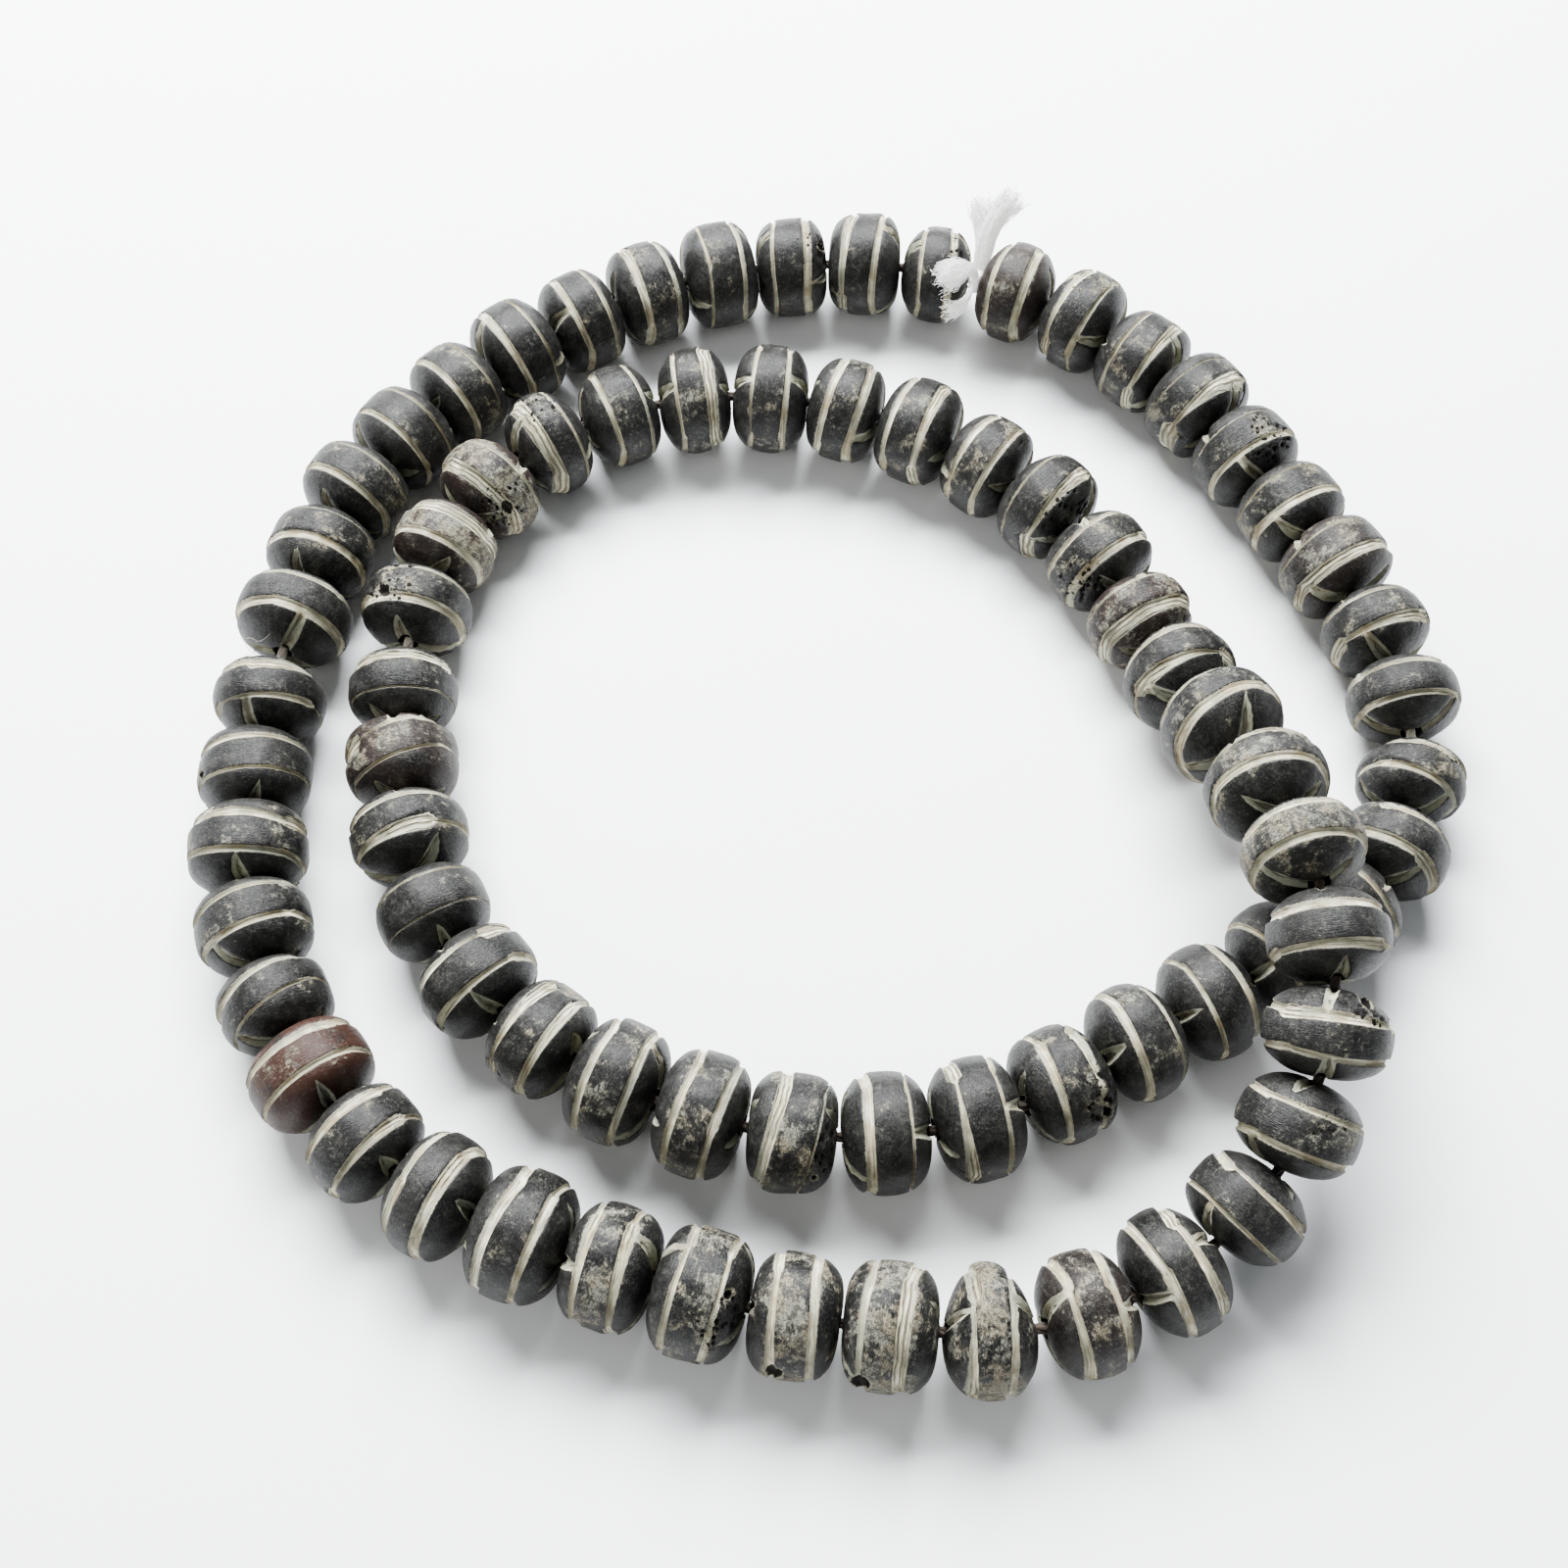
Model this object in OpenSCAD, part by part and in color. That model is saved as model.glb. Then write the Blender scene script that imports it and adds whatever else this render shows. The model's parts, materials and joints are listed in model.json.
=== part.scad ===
// A long string of carved bone beads. It is one closed loop, tied at a knot and laid flat
// in two turns, one strand passing over the other on the right. Millimetres, +Z up.
// The beads rest on z = 0 and the origin is below the middle of the loop.

/* [Beads] */
// How many beads are on the string
bead_count = 76; // [72:1:76]
// Usual diameter of a bead, across the string
bead_d = 14.2; // [13.6:0.1:14.4]
// Usual length of a bead, along the string
bead_l = 9.9; // [9.4:0.05:10]
// Power of the bead's outline: 2 is an ellipse, and more is squarer
bead_power = 2.5; // [2.3:0.1:2.6]
// How much the hand-cut beads differ in size, as a share
bead_spread = 0.025; // [0:0.005:0.03]
// Diameter of the drilled hole
hole_d = 2.6; // [2.4:0.1:3]

/* [Carved rings] */
// Distance of each ring from the bead's middle, as a share of the bead's length
ring_place = 0.22; // [0.16:0.01:0.28]
// Width of a ring's groove at the surface
ring_w = 0.9; // [0.6:0.1:1.2]
// Depth of the groove
ring_depth = 0.35; // [0.2:0.05:0.5]

/* [Thread and knot] */
// Diameter of the cotton thread
thread_d = 1.3; // [1:0.1:1.4]
// Diameter of the flattened knot
knot_d = 4; // [3:0.1:4.4]
// Thickness of the knot, along the string
knot_w = 1.3; // [1:0.1:1.5]
// Clearance between the knot and each thread end
knot_gap = 0.2; // [0.15:0.05:0.3]

/* [Crossing] */
// How far the upper strand rises to pass over the lower one
crossing_rise = 14.8; // [14.8:0.1:16]

/* [Hidden] */
$fn = 40;

// The string's route seen from above, from the bare thread before bead 1
ROUTE = [
    [-70, 8], [-64, 33], [-48, 54], [-25, 69], [1, 74], [26, 69], [46, 53], [60, 31],
    [70, 7], [68, -16], [53, -31], [34, -42], [15, -52], [-9, -53], [-32, -44], [-48, -27],
    [-54, -2], [-52, 23], [-39, 42], [-17, 50], [8, 46], [29, 31], [41, 8], [49, -16],
    [53, -40], [45, -61], [24, -74], [-2, -74], [-26, -68], [-49, -58], [-65, -39], [-71, -16]
];
// The middle of the laid loop's box on the route, which becomes x = 0 and y = 0
route_middle = [-0.38, 0.42];
// Place of the crossing along ROUTE, and how many of its spans the rise takes on each side
crossing_at = 23.65;
crossing_spans = 1.95;

// Beads that stand out: number, diameter and length as shares of the usual
ODD_BEADS = [
    [1, 1.06, 1.04],
    [9, 1.04, 1.02],
    [12, 0.95, 0.96],
    [22, 0.94, 0.93],
    [33, 1.03, 1.00],
    [34, 0.96, 0.98],
    [46, 1.04, 1.02],
    [54, 1.08, 1.06],
    [55, 1.05, 1.02],
    [63, 1.04, 1.02],
    [68, 1.06, 1.06],
    [72, 0.95, 0.94]
];
// Bare thread: the number of the bead before it, and its length
BARE = [
    [12, 1.3],
    [21, 1.4],
    [39, 1.6],
    [54, 1.6],
    [76, 2]
];
// Room that the end faces need where the string bends, for each degree of bend
bend_room = 0.036;

// Steps of the curve in each span of the route
span_steps = 10;
// Angles that shape the bead's outline from its hole to its middle
OUTLINE_ANGLES = [24, 36, 48, 60];
// Outline points closer than this to the edge of a ring are left out
ring_margin = 0.1;

// The knot lies after this bead
knot_after = 12;
// Sides of the thread and of the knot's tails
thread_sides = 8;
tail_sides = 10;
// Each tail's stretches: distance from the string, shift along it, radius, and the angle up from
// the outside of the loop, which is 90 on top and 180 on the inside
BACK_TAIL = [
    [1.2, 0, 0.5, 50],
    [4.5, 0, 0.9, 50],
    [8, 0.2, 1.1, 50],
    [11.5, 1.1, 1.2, 49],
    [14.5, 2.4, 0.6, 47]
];
SIDE_TAIL = [
    [1.2, 0, 0.5, 30],
    [5, 0, 0.8, 30],
    [8.5, -0.9, 1.1, 31],
    [11.5, -2.2, 1, 32],
    [13.3, -3, 0.4, 32]
];
FRONT_TAIL = [
    [1.2, 0, 0.5, 118],
    [4.5, 0, 0.9, 118],
    [7.7, -0.7, 1.3, 121],
    [9, -2.6, 1.6, 131],
    [8.9, -4.4, 0.9, 143]
];
LOW_TAIL = [
    [1.2, 0, 0.5, 162],
    [5, 0, 0.8, 162],
    [7.8, -0.6, 1.1, 164],
    [8.8, -2.2, 0.6, 168]
];

function wrapped(i, n) = (i % n + n) % n;
function route_point(i) = ROUTE[wrapped(i, len(ROUTE))];
// A smooth curve through b and c, with a and d as their outer neighbours
function between(a, b, c, d, t) =
    (2 * b + (c - a) * t + (2 * a - 5 * b + 4 * c - d) * t * t + (3 * b - a - 3 * c + d) * t * t * t) / 2;
function lift(u) =
    crossing_rise * (1 + cos(180 * min(1, abs(u - crossing_at) / crossing_spans))) / 2;
function curve_point(i, t) =
    let (flat = between(route_point(i - 1), route_point(i), route_point(i + 1), route_point(i + 2), t))
    concat(flat - route_middle, lift(i + t));

PATH = [
    for (i = [0 : len(ROUTE) - 1])
        for (k = [0 : span_steps - 1])
            curve_point(i, k / span_steps),
    curve_point(0, 0)
];
// Distance along the path to each of its points
RUN = [
    for (i = 0, s = 0; i < len(PATH);
        i = i + 1, s = s + (i < len(PATH) ? norm(PATH[i] - PATH[i - 1]) : 0))
        s
];
path_length = RUN[len(RUN) - 1];
PATH_X = [for (i = [0 : len(PATH) - 1]) [RUN[i], PATH[i].x]];
PATH_Y = [for (i = [0 : len(PATH) - 1]) [RUN[i], PATH[i].y]];
PATH_Z = [for (i = [0 : len(PATH) - 1]) [RUN[i], PATH[i].z]];
function along(s) =
    let (t = s - floor(s / path_length) * path_length)
    [lookup(t, PATH_X), lookup(t, PATH_Y), lookup(t, PATH_Z)];

// Sizes of bead i, counted from 1
function odd_row(i) = [for (row = ODD_BEADS) if (row[0] == i) row];
function across(i) =
    bead_d * (len(odd_row(i)) > 0 ? odd_row(i)[0][1] : 1 + bead_spread * sin(137.5 * i));
function long(i) =
    bead_l * (len(odd_row(i)) > 0 ? odd_row(i)[0][2] : 1 + bead_spread * sin(197 * i + 40));

// Gap after bead i: what the bend needs, any bare thread, and an even share of what is left
function total(list) = list * [for (x = list) 1];
function bare_after(i) = total(concat([0], [for (row = BARE) if (row[0] == i) row[1]]));
function heading(s) = along(s + bead_l / 2) - along(s - bead_l / 2);
function bend(s) =
    let (a = heading(s - bead_l / 2), b = heading(s + bead_l / 2))
    atan2(norm(cross(a, b)), a * b);
BEND_AND_BARE = [
    for (i = [1 : bead_count])
        bend_room * bend(path_length * i / bead_count) + bare_after(i)
];
LONG = [for (i = [1 : bead_count]) long(i)];
even_gap = (path_length - total(LONG) - total(BEND_AND_BARE)) / bead_count;
assert(even_gap > 0.05, "The beads are too long for the route");
function gap_after(i) = even_gap + BEND_AND_BARE[wrapped(i - 1, bead_count)];

// Distance along the path to the middle of the gap after each bead, gap 0 being before bead 1
JOINT = [
    for (i = 0, s = 0; i <= bead_count;
        i = i + 1, s = s + gap_after(i - 1) / 2 + (i <= bead_count ? long(i) : 0) + gap_after(i) / 2)
        s
];
function bead_start(i) = along(JOINT[i - 1] + gap_after(i - 1) / 2);
function bead_end(i) = along(JOINT[i] - gap_after(i) / 2);
function raised(i) = [0, 0, across(i) / 2];
function next_bead(i) = wrapped(i, bead_count) + 1;
function joint_point(i) =
    let (k = wrapped(i - 1, bead_count) + 1)
    along(JOINT[k]) + (raised(k) + raised(next_bead(k))) / 2;

// Radius of the outline at a given angle, and its distance from the bead's middle
function rounded(size, share) = size * pow(share, 2 / bead_power);
function outline_r(d, a) = rounded(d / 2, sin(a));
function outline_x(l, a) = rounded(l / 2, cos(a));
function radius_at(d, l, x) = d / 2 * pow(1 - pow(abs(2 * x / l), bead_power), 1 / bead_power);
function reach_at(d, l, r) = l / 2 * pow(1 - pow(2 * r / d, bead_power), 1 / bead_power);
// One half of the outline, from the hole's edge over the groove to the middle of the bead
function half_outline(d, l) =
    let (ring = ring_place * l)
    concat(
        [[hole_d / 2, reach_at(d, l, hole_d / 2)]],
        [
            for (a = OUTLINE_ANGLES)
                if (outline_x(l, a) > ring + ring_w / 2 + ring_margin)
                    [outline_r(d, a), outline_x(l, a)]
        ],
        [
            [radius_at(d, l, ring + ring_w / 2), ring + ring_w / 2],
            [radius_at(d, l, ring) - ring_depth, ring],
            [radius_at(d, l, ring - ring_w / 2), ring - ring_w / 2],
            [d / 2, 0]
        ]
    );
function mirrored(points) =
    [for (i = [len(points) - 2 : -1 : 0]) [points[i][0], -points[i][1]]];

module bead(i) {
    from = bead_start(i);
    to = bead_end(i);
    way = to - from;
    half = half_outline(across(i), long(i));
    translate((from + to) / 2 + raised(i))
        rotate([0, acos(way.z / norm(way)), atan2(way.y, way.x)])
            rotate_extrude()
                polygon(concat(half, mirrored(half)));
}

module beads_first_turn() {
    color("#2b2a29")
        for (i = [1 : floor(bead_count / 2)])
            bead(i);
}

module beads_second_turn() {
    color("#2b2a29")
        for (i = [floor(bead_count / 2) + 1 : bead_count])
            bead(i);
}

// The thread runs from the knot right round the loop to the knot again
function unit(v) = v / norm(v);
knot_at = joint_point(knot_after);
knot_way = unit(along(JOINT[knot_after] + knot_w) - along(JOINT[knot_after] - knot_w));
function thread_point(k) =
    k == 0 ? knot_at + knot_way * (knot_w / 2 + knot_gap) :
    k == bead_count ? knot_at - knot_way * (knot_w / 2 + knot_gap) :
    joint_point(knot_after + k);
THREAD = [for (k = [0 : bead_count]) thread_point(k)];

// A tube through points with a radius at each. level is a direction that it never follows.
function tube_way(points, k) =
    let (last = len(points) - 1)
    k == 0 ? unit(points[1] - points[0]) :
    k == last ? unit(points[last] - points[last - 1]) :
    unit(unit(points[k] - points[k - 1]) + unit(points[k + 1] - points[k]));
function tube_ring(points, radii, sides, level, k) =
    let (way = tube_way(points, k), side = unit(cross(level, way)), up = cross(way, side))
    [
        for (j = [0 : sides - 1])
            let (a = 360 * (j + 0.5) / sides)
            points[k] + radii[k] * (cos(a) * side + sin(a) * up)
    ];

module tube(points, radii, sides, level) {
    last = len(points) - 1;
    rings = [for (k = [0 : last]) each tube_ring(points, radii, sides, level, k)];
    walls = [
        for (k = [0 : last - 1])
            for (j = [0 : sides - 1])
                let (a = k * sides + j, b = k * sides + (j + 1) % sides)
                each [[a, a + sides, b], [b, a + sides, b + sides]]
    ];
    first_cap = [for (j = [0 : sides - 1]) j];
    last_cap = [for (j = [sides - 1 : -1 : 0]) last * sides + j];
    polyhedron(rings, concat([first_cap], walls, [last_cap]));
}

module thread() {
    color("#a08f76")
        tube(THREAD, [for (point = THREAD) thread_d / 2], thread_sides, [0, 0, 1]);
}

// A tail stands out from the string along the way of its second row, and may lean round it
module tail(rows) {
    points = [for (row = rows) [row[1], row[0] * cos(row[3]), row[0] * sin(row[3])]];
    angle = rows[1][3];
    tube(points, [for (row = rows) row[2]], tail_sides, [0, -sin(angle), cos(angle)]);
}

module knot() {
    color("#f2f0ea")
        translate(knot_at)
            rotate([0, 0, atan2(knot_way.y, knot_way.x)]) {
                rotate([0, 90, 0])
                    cylinder(h = knot_w, d = knot_d, center = true);
                tail(BACK_TAIL);
                tail(SIDE_TAIL);
                tail(FRONT_TAIL);
                tail(LOW_TAIL);
            }
}

beads_first_turn();
beads_second_turn();
thread();
knot();
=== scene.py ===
"""Looks for a long string of carved, black-dyed bone beads, laid flat in two turns."""
import json
import math

import bpy
import numpy as np
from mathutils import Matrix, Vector

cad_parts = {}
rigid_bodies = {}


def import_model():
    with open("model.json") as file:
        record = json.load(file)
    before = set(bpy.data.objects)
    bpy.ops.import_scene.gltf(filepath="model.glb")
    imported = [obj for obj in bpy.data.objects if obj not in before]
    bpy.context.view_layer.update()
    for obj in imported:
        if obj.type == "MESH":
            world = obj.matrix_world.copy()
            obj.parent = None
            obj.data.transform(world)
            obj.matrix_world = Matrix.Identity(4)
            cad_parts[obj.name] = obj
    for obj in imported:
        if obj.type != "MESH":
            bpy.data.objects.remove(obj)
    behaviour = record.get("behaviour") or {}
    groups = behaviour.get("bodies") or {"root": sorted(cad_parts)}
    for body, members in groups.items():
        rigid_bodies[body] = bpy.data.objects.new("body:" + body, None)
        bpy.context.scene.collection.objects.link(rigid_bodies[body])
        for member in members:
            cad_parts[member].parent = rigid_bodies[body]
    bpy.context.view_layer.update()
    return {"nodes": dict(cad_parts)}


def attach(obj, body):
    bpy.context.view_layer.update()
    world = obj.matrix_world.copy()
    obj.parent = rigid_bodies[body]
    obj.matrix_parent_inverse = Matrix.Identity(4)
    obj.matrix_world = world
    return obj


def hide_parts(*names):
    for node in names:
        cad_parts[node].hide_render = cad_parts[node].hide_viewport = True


for old in list(bpy.data.objects):
    bpy.data.objects.remove(old)
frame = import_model()

MM = 0.001

# Sizes, in millimetres

# How square the profile of a bead is: 2 is an ellipse, and more is a drum.
BEAD_POWER = 2.5
# What a bead's ends may be flattened to where it has room beside it, the flattest first.
END_POWERS = (3.3, 3.1, 2.9, 2.7, BEAD_POWER)
BEAD_ACROSS = 14
HOLE_WIDTH = 2.6
# Where a ring runs, from the bead's middle, as a share of its length.
RING_PLACE = 0.23
# A wider gap between two beads stays open. They all but touch across a narrower one.
BARE_GAP = 0.9
TOUCHING_GAP = 0.05
MOST_ADDED = 0.5
# The knot is tied after this bead. Bead 1 is the one nearest to this place.
KNOT_AFTER = 12
FIRST_BEAD_NEAR = (-68.6, 13.8, 7.5)

# How worn each bead is, from 0, black and polished, to 100, rubbed pale. Ten beads a row.
WORN = [
    25, 45, 45, 35, 48, 35, 42, 48, 38, 34,
    25, 36, 50, 45, 50, 50, 35, 50, 60, 45,
    35, 30, 30, 30, 20, 20, 35, 40, 15, 15,
    60, 55, 50, 50, 20, 25, 40, 60, 45, 40,
    85, 90, 42, 38, 50, 38, 52, 50, 45, 36,
    50, 70, 40, 50, 60, 85, 15, 40, 40, 25,
    25, 60, 95, 95, 85, 65, 60, 40, 5, 35,
    35, 30, 40, 40, 20, 25,
]

# Beads dyed browner than the rest, and how much.
BROWN = {71: 0.9, 13: 0.25, 19: 0.2, 41: 0.3, 42: 0.35, 52: 0.3, 38: 0.3, 62: 0.15}

# Coarse, open bone: bead, how open, and where it is seen on the bead, in shares of its radius
# to the right and up.
OPEN_BONE = [
    [40, 1.0, -0.35, 0.55], [42, 0.8, 0.45, -0.45], [43, 0.6, 0.0, 0.6], [28, 1.0, 0.75, 0.0],
    [58, 0.9, 0.45, 0.55], [12, 0.8, 0.6, 0.2], [50, 0.9, 0.3, -0.3], [17, 0.9, 0.25, 0.25],
    [51, 0.9, -0.5, -0.45], [10, 0.7, 0.6, 0.25], [8, 0.4, 0.6, 0.1], [49, 0.4, 0.5, 0.5],
    [59, 0.5, 0.2, 0.2], [31, 0.6, 0.6, -0.2], [66, 0.6, 0.4, -0.2], [14, 0.4, -0.3, 0.6],
    [22, 0.5, 0.6, 0.6],
]

# Single holes: bead, where it is seen, and its radius as seen.
HOLES = [
    [75, -0.80, 0.02, 0.6], [65, -0.34, -0.74, 1.0], [64, -0.48, -0.68, 1.1], [66, 0.45, 0.22, 0.55],
    [42, 0.45, -0.45, 0.9], [40, -0.45, 0.3, 0.9], [10, 0.62, 0.25, 0.55], [58, 0.45, 0.55, 0.8],
    [31, 0.35, -0.6, 0.4], [28, 0.66, -0.35, 0.7],
]

# Rings as the photograph shows them: bead, half the width of the ring before its middle in
# hundredths of a millimetre and how much wider that grows, in percent, up the picture (or to the
# left, where the string runs up it), and the same for the ring after it. 0 is left to chance.
RINGS = [
    [1, 62, 10, 57, 10], [2, 54, 10, 20, 10], [3, 50, 10, 20, 10], [4, 40, 10, 25, 10],
    [5, 45, 10, 20, 10], [6, 55, 20, 25, 10], [7, 50, 20, 38, 0], [8, 62, 20, 45, 30],
    [9, 0, 0, 38, 10], [10, 32, 0, 60, 0], [11, 62, 40, 48, -10], [12, 32, 20, 60, 0],
    [13, 49, 10, 60, 10], [14, 60, 50, 35, -60], [15, 30, 10, 60, 50], [16, 15, 0, 85, 90],
    [17, 12, 0, 50, 10], [18, 22, 0, 60, 10], [19, 18, 0, 80, 10], [20, 36, 10, 60, -60],
    [21, 45, -40, 39, 10], [22, 60, 10, 0, 0], [26, 64, 0, 29, 10], [27, 33, 10, 49, 10],
    [28, 53, 40, 49, 40], [29, 29, -50, 53, -90], [30, 20, 0, 64, 0], [31, 15, 0, 73, 10],
    [32, 47, -30, 49, 0], [33, 49, 0, 49, 10], [34, 56, 30, 58, 80], [35, 41, -40, 58, -80],
    [36, 10, 0, 22, 10], [37, 0, 0, 58, 10], [38, 26, 10, 58, -90], [39, 12, 0, 85, 5],
    [40, 60, 10, 40, 10], [41, 50, 10, 100, 10], [42, 90, 10, 30, 0], [43, 105, 10, 25, 0],
    [44, 40, 20, 33, 0], [45, 30, 30, 85, 10], [46, 26, 70, 42, -20], [47, 57, 10, 62, 10],
    [48, 55, 30, 62, 40], [49, 50, 40, 43, 10], [50, 20, 10, 62, 80], [51, 40, 10, 62, 10],
    [52, 28, 10, 92, 10], [53, 60, 10, 58, 90], [54, 58, 10, 65, 10], [55, 80, 20, 55, 10],
    [56, 73, 10, 47, 10], [57, 65, 10, 0, 0], [58, 60, 40, 42, 0], [59, 38, -20, 48, 0],
    [60, 40, -70, 28, 0], [63, 49, 10, 49, -80], [64, 76, 10, 44, 30], [65, 53, 0, 49, -40],
    [66, 37, -35, 40, -35], [67, 54, 50, 54, 50], [68, 49, 30, 66, 5], [69, 68, 10, 0, 0],
    [70, 50, 50, 60, 30], [71, 38, 0, 62, 10], [72, 18, 0, 53, 10], [73, 45, 0, 45, 10],
    [74, 45, 0, 65, 30], [75, 25, 0, 48, 10], [76, 30, -80, 85, 30],
]

# How far up the picture, or to the left, the middle of a file stroke lies, in degrees.
STROKE_MIDDLES = {
    (1, "before"): -55, (32, "before"): 60, (34, "after"): 10, (35, "after"): -10, (38, "after"): -20,
    (54, "after"): 8, (63, "after"): -10, (76, "after"): -50,
}

# How far the rings of some beads turn clockwise in the picture, in degrees, and the bead that is
# narrow at its top.
SLANTED = {
    22: 16, 27: 5, 28: 9, 38: -17, 54: -3, 55: 8, 56: 3, 65: -4, 66: 3, 67: -3, 68: 5,
    72: -14, 73: -10, 75: -8, 76: -9,
}
WEDGED = {63: 0.42}

# Beads that lie over or under others, which keep the form of the solids.
AT_THE_CROSSING = [*range(20, 28), *range(52, 62)]

# The start of the seeds for what is left to chance on the beads.
BEAD_SEED = 4052

# Node trees, written as sums

class Wire:
    """One output of a node tree. Sums, products and so on of wires add the nodes for them."""

    def __init__(self, tree, out):
        self.tree = tree
        self.out = out

    def op(self, operation, *values):
        return in_order(self.tree, "ShaderNodeMath", {"operation": operation}, values)

    def fade(self, start, end, low=0.0, high=1.0, soft=True):
        """low up to start, high from end on, and a smooth or straight change between."""
        settings = {"interpolation_type": "SMOOTHSTEP" if soft else "LINEAR"}
        return add(self.tree, "ShaderNodeMapRange", settings=settings,
                   Value=self, From_Min=start, From_Max=end, To_Min=low, To_Max=high)


def sum_method(operation, wire_last=False):
    """A method that adds one math node, with the wire as its first value or as its last."""
    def method(self, *others):
        return self.op(operation, *others, self) if wire_last else self.op(operation, self, *others)
    return method


for name, operation in (("add", "ADD"), ("sub", "SUBTRACT"), ("mul", "MULTIPLY"), ("truediv", "DIVIDE")):
    setattr(Wire, f"__{name}__", sum_method(operation))
    setattr(Wire, f"__r{name}__", sum_method(operation, wire_last=True))
for name, operation in {
        "__pow__": "POWER", "__abs__": "ABSOLUTE", "over": "GREATER_THAN", "at_least": "MAXIMUM",
        "at_most": "MINIMUM", "sin": "SINE", "cos": "COSINE"}.items():
    setattr(Wire, name, sum_method(operation))


def plug(value, socket):
    """Links a wire to a socket, or sets it to a plain value. None leaves it as it is."""
    if isinstance(value, Wire):
        value.tree.links.new(value.out, socket)
    elif value is not None:
        socket.default_value = value


def in_use(sockets, name=None):
    """The sockets that are switched on, of one name if it is given."""
    return [s for s in sockets if s.enabled and (name is None or s.name == name)]


def new_node(tree, kind, settings):
    node = tree.nodes.new(kind)
    for name, value in settings.items():
        setattr(node, name, value)
    return node


def fill(inputs, **values):
    """Plugs values into sockets by name."""
    for label, value in values.items():
        plug(value, in_use(inputs, label.replace("_", " "))[0])


def in_order(tree, kind, settings, values):
    """A node with its sockets filled from the first on, as its output."""
    node = new_node(tree, kind, settings)
    for socket, value in zip(in_use(node.inputs), values):
        plug(value, socket)
    return Wire(tree, in_use(node.outputs)[0])


def add(tree, kind, first=None, output=None, settings={}, **sockets):
    """A node with its first socket filled and others by name, as its first output or a named one."""
    node = new_node(tree, kind, settings)
    plug(first, node.inputs[0] if node.inputs else None)
    fill(node.inputs, **sockets)
    return Wire(tree, in_use(node.outputs, output)[0])


def other_output(wire, output):
    """Another output of the node that a wire comes from."""
    return Wire(wire.tree, wire.out.node.outputs[output])


def tree_of(values):
    return next(value.tree for value in values if isinstance(value, Wire))


def vector_sum(operation, *values):
    return in_order(tree_of(values), "ShaderNodeVectorMath", {"operation": operation}, values)


def moved(place, *steps):
    """A place, moved by each of some steps: a direction and how far."""
    for way, far in steps:
        place = vector_sum("ADD", place, vector_sum("SCALE", way, far))
    return place


def parts(vector):
    x = add(vector.tree, "ShaderNodeSeparateXYZ", vector)
    return x, other_output(x, 1), other_output(x, 2)


def whole(x, y, z):
    return in_order(tree_of((x, y, z)), "ShaderNodeCombineXYZ", {}, (x, y, z))


def noise(vector, scale, detail=2.0, rough=0.5, output="Fac"):
    return add(vector.tree, "ShaderNodeTexNoise", output=output,
               Vector=vector, Scale=scale, Detail=detail, Roughness=rough)


def cells(vector, scale):
    return add(vector.tree, "ShaderNodeTexVoronoi", output="Distance", Vector=vector, Scale=scale)


def mix(share, first, second, kind="RGBA"):
    """A mix of two colours."""
    return add(share.tree, "ShaderNodeMix", share, settings={"data_type": kind}, A=first, B=second)


def pick(share, first, second):
    """A mix of two numbers."""
    return mix(share, first, second, "FLOAT")


def coated(colour, *coats):
    """A colour under coats of [how much, colour], the last one on top."""
    for amount, coat in coats:
        colour = mix(amount, colour, coat)
    return colour


def new_tree(kind, name, inputs, outputs=(("Geometry", "Geometry"),)):
    """A node tree with named inputs, [name, type, default], and outputs, [name, type]."""
    tree = bpy.data.node_groups.new(name, kind + "NodeTree")
    for way, sockets in (("INPUT", inputs), ("OUTPUT", outputs)):
        for label, kind, *value in sockets:
            socket = tree.interface.new_socket(label, in_out=way, socket_type="NodeSocket" + kind)
            if value:
                socket.default_value = value[0]
    given = {s.name: Wire(tree, s) for s in tree.nodes.new("NodeGroupInput").outputs if s.name}
    return tree, given, tree.nodes.new("NodeGroupOutput").inputs


# Objects and meshes

def put_in_scene(name, data):
    thing = bpy.data.objects.new(name, data)
    bpy.context.scene.collection.objects.link(thing)
    return thing


def plain_mesh(name, points, edges=(), faces=(), **values):
    """An object of points in metres, with edges or faces, and one value or three for each point."""
    mesh = bpy.data.meshes.new(name)
    mesh.from_pydata([tuple(p) for p in points], list(edges), list(faces))
    for label, column in values.items():
        column = np.asarray(column, np.float32)
        kind, slot = ("FLOAT", "value") if column.ndim == 1 else ("FLOAT_VECTOR", "vector")
        mesh.attributes.new(label, kind, "POINT").data.foreach_set(slot, column.ravel())
    return put_in_scene(name, mesh)


# Where the beads are

def loose_parts(node_object):
    """The corner points of each loose solid in a CAD node, in millimetres."""
    mesh = node_object.data
    points = np.empty(len(mesh.vertices) * 3, np.float32)
    mesh.vertices.foreach_get("co", points)
    points, place = np.unique(np.round(points.reshape(-1, 3) / MM, 3), axis=0, return_inverse=True)
    edges = np.empty(len(mesh.edges) * 2, np.int32)
    mesh.edges.foreach_get("vertices", edges)
    ends = place.reshape(-1)[edges].reshape(-1, 2)
    label = np.arange(len(points))
    while True:
        low = np.minimum(label[ends[:, 0]], label[ends[:, 1]])
        lower = label.copy()
        np.minimum.at(lower, ends[:, 0], low)
        np.minimum.at(lower, ends[:, 1], low)
        lower = lower[lower]
        if (lower == label).all():
            return [points[label == number] for number in np.unique(label)]
        label = lower


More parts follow.
